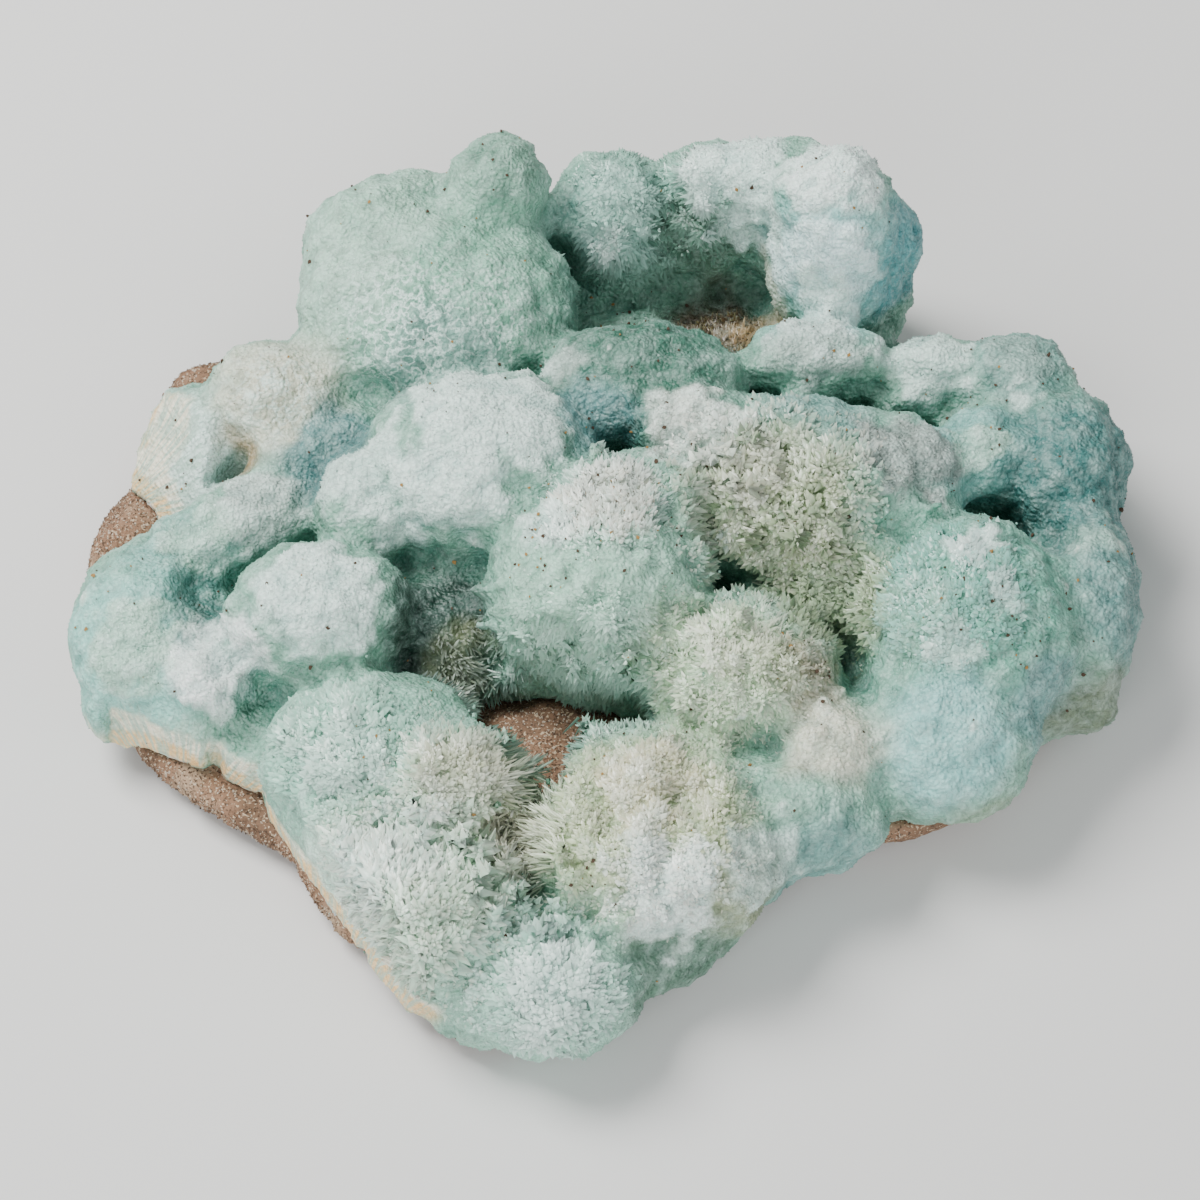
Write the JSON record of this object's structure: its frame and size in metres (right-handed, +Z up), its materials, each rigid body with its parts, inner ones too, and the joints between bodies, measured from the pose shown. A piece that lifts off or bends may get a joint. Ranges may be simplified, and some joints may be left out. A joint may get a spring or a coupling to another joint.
{
  "type": "blue aragonite specimen on matrix",
  "caption": "Mint-blue aragonite crust of rounded lobes, with needle and blade crystals in its gaps, on a slab of brown sandy matrix rock; a display mineral specimen.",
  "frame": {"origin": "middle of the bounding box at the height of the flat high spots that the specimen rests on", "axes": "+X to the right along the specimen's width, +Y away from the narrow front tip towards the tall pillar at the back, +Z up"},
  "size_m": [0.1528, 0.1468, 0.046],
  "materials": {
    "aragonite": "frosted waxy crystal, white tops and blue-green hollows",
    "matrix": "rough sandy broken rock"
  },
  "bodies": {
    "root": {"aragonite_crust": "aragonite", "matrix_rock": "matrix"}
  },
  "joints": []
}
